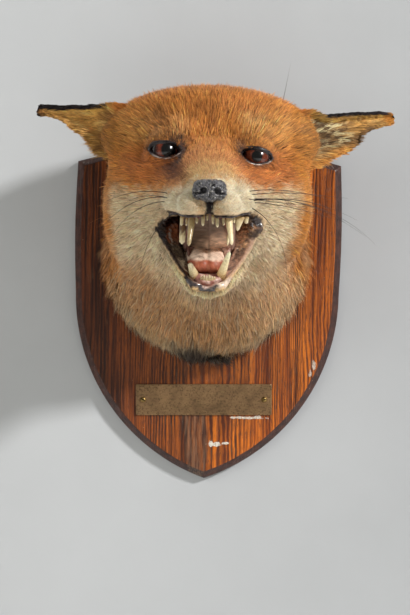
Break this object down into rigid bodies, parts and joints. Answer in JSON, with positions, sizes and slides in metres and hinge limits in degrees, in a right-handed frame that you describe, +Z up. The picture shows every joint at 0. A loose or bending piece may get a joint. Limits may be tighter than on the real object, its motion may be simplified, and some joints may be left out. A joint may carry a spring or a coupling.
{
  "type": "taxidermy fox mask on shield",
  "caption": "Mounted head of a red fox, jaws open in a snarl and ears laid out sideways, fixed to a pointed oak shield with a bare brass plate; hangs flat on a wall.",
  "frame": {"origin": "middle of the shield's flat back, on the wall's surface", "axes": "+Z up, the fox looks along -Y, +Y into the wall, +X to the viewer's right"},
  "size_m": [0.2266, 0.205, 0.2516],
  "materials": {
    "oak": "stained and waxed, worn at the edges",
    "brass_plate": "tarnished",
    "brass_screw": "worn",
    "fur_neck": "dense fur, tan with a pale fringe",
    "fur_head": "short fur, orange-red above and cream on the cheeks",
    "fur_jaw": "short cream fur",
    "fur_ear": "thin fur, ochre inside and black behind",
    "eye_glass": "polished",
    "nose_paint": "varnished paint",
    "teeth": "aged ivory in varnished gums",
    "tongue_paint": "varnished paint"
  },
  "bodies": {
    "root": {"shield": "oak", "plaque": "brass_plate", "plaque_screw_left": "brass_screw", "plaque_screw_right": "brass_screw", "neck": "fur_neck", "head": "fur_head", "lower_jaw": "fur_jaw", "ear_left": "fur_ear", "ear_right": "fur_ear", "eye_left": "eye_glass", "eye_right": "eye_glass", "nose": "nose_paint", "upper_gum_teeth": "teeth", "lower_gum_teeth": "teeth", "tongue": "tongue_paint"}
  },
  "joints": []
}
